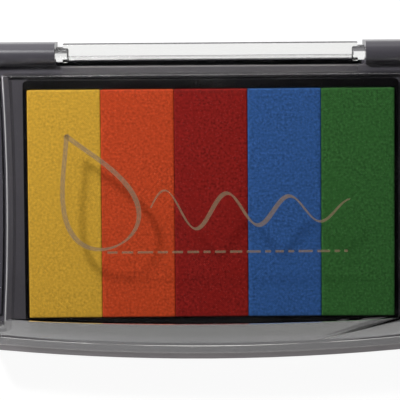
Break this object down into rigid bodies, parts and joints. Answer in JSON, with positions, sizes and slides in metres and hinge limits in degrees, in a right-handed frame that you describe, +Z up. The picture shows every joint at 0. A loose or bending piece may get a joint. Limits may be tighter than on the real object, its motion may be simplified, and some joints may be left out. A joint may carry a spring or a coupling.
{
  "type": "ink pad",
  "caption": "Full-size rainbow ink pad: a dark case with a hinged clear lid over a black tray of coloured ink strips.",
  "frame": {"origin": "on the ground plane, under the centre of the closed pad's box", "axes": "+X along the row of strips from the first colour to the last, +Y towards the hinge, +Z up out of the inked surface"},
  "size_m": [0.0968, 0.0666, 0.019],
  "materials": {
    "case_plastic": "satin charcoal, fine moulded grain",
    "tray_plastic": "black, low sheen",
    "film": "black film",
    "ink_yellow": "woven cover, damp with ink",
    "ink_orange": "woven cover, damp with ink",
    "ink_red": "woven cover, damp with ink",
    "ink_blue": "woven cover, damp with ink",
    "ink_green": "woven cover, damp with ink",
    "clear_plastic": "clear, polished",
    "label_paper": "smooth coated paper"
  },
  "bodies": {
    "base": {"base_case": "case_plastic", "ink_tray": "tray_plastic", "divider_1": "film", "divider_2": "film", "divider_3": "film", "divider_4": "film", "foam_yellow": "ink_yellow", "foam_orange": "ink_orange", "foam_red": "ink_red", "foam_blue": "ink_blue", "foam_green": "ink_green", "cover_yellow": "ink_yellow", "cover_orange": "ink_orange", "cover_red": "ink_red", "cover_blue": "ink_blue", "cover_green": "ink_green", "base_label": "label_paper"},
    "lid": {"lid": "clear_plastic"}
  },
  "joints": [
    {"name": "lid_hinge", "type": "hinge", "parent": "base", "child": "lid", "pos_m": [0, 0.0309, 0.0096], "axis": [-1, 0, 0], "range_deg": [0, 180]}
  ]
}
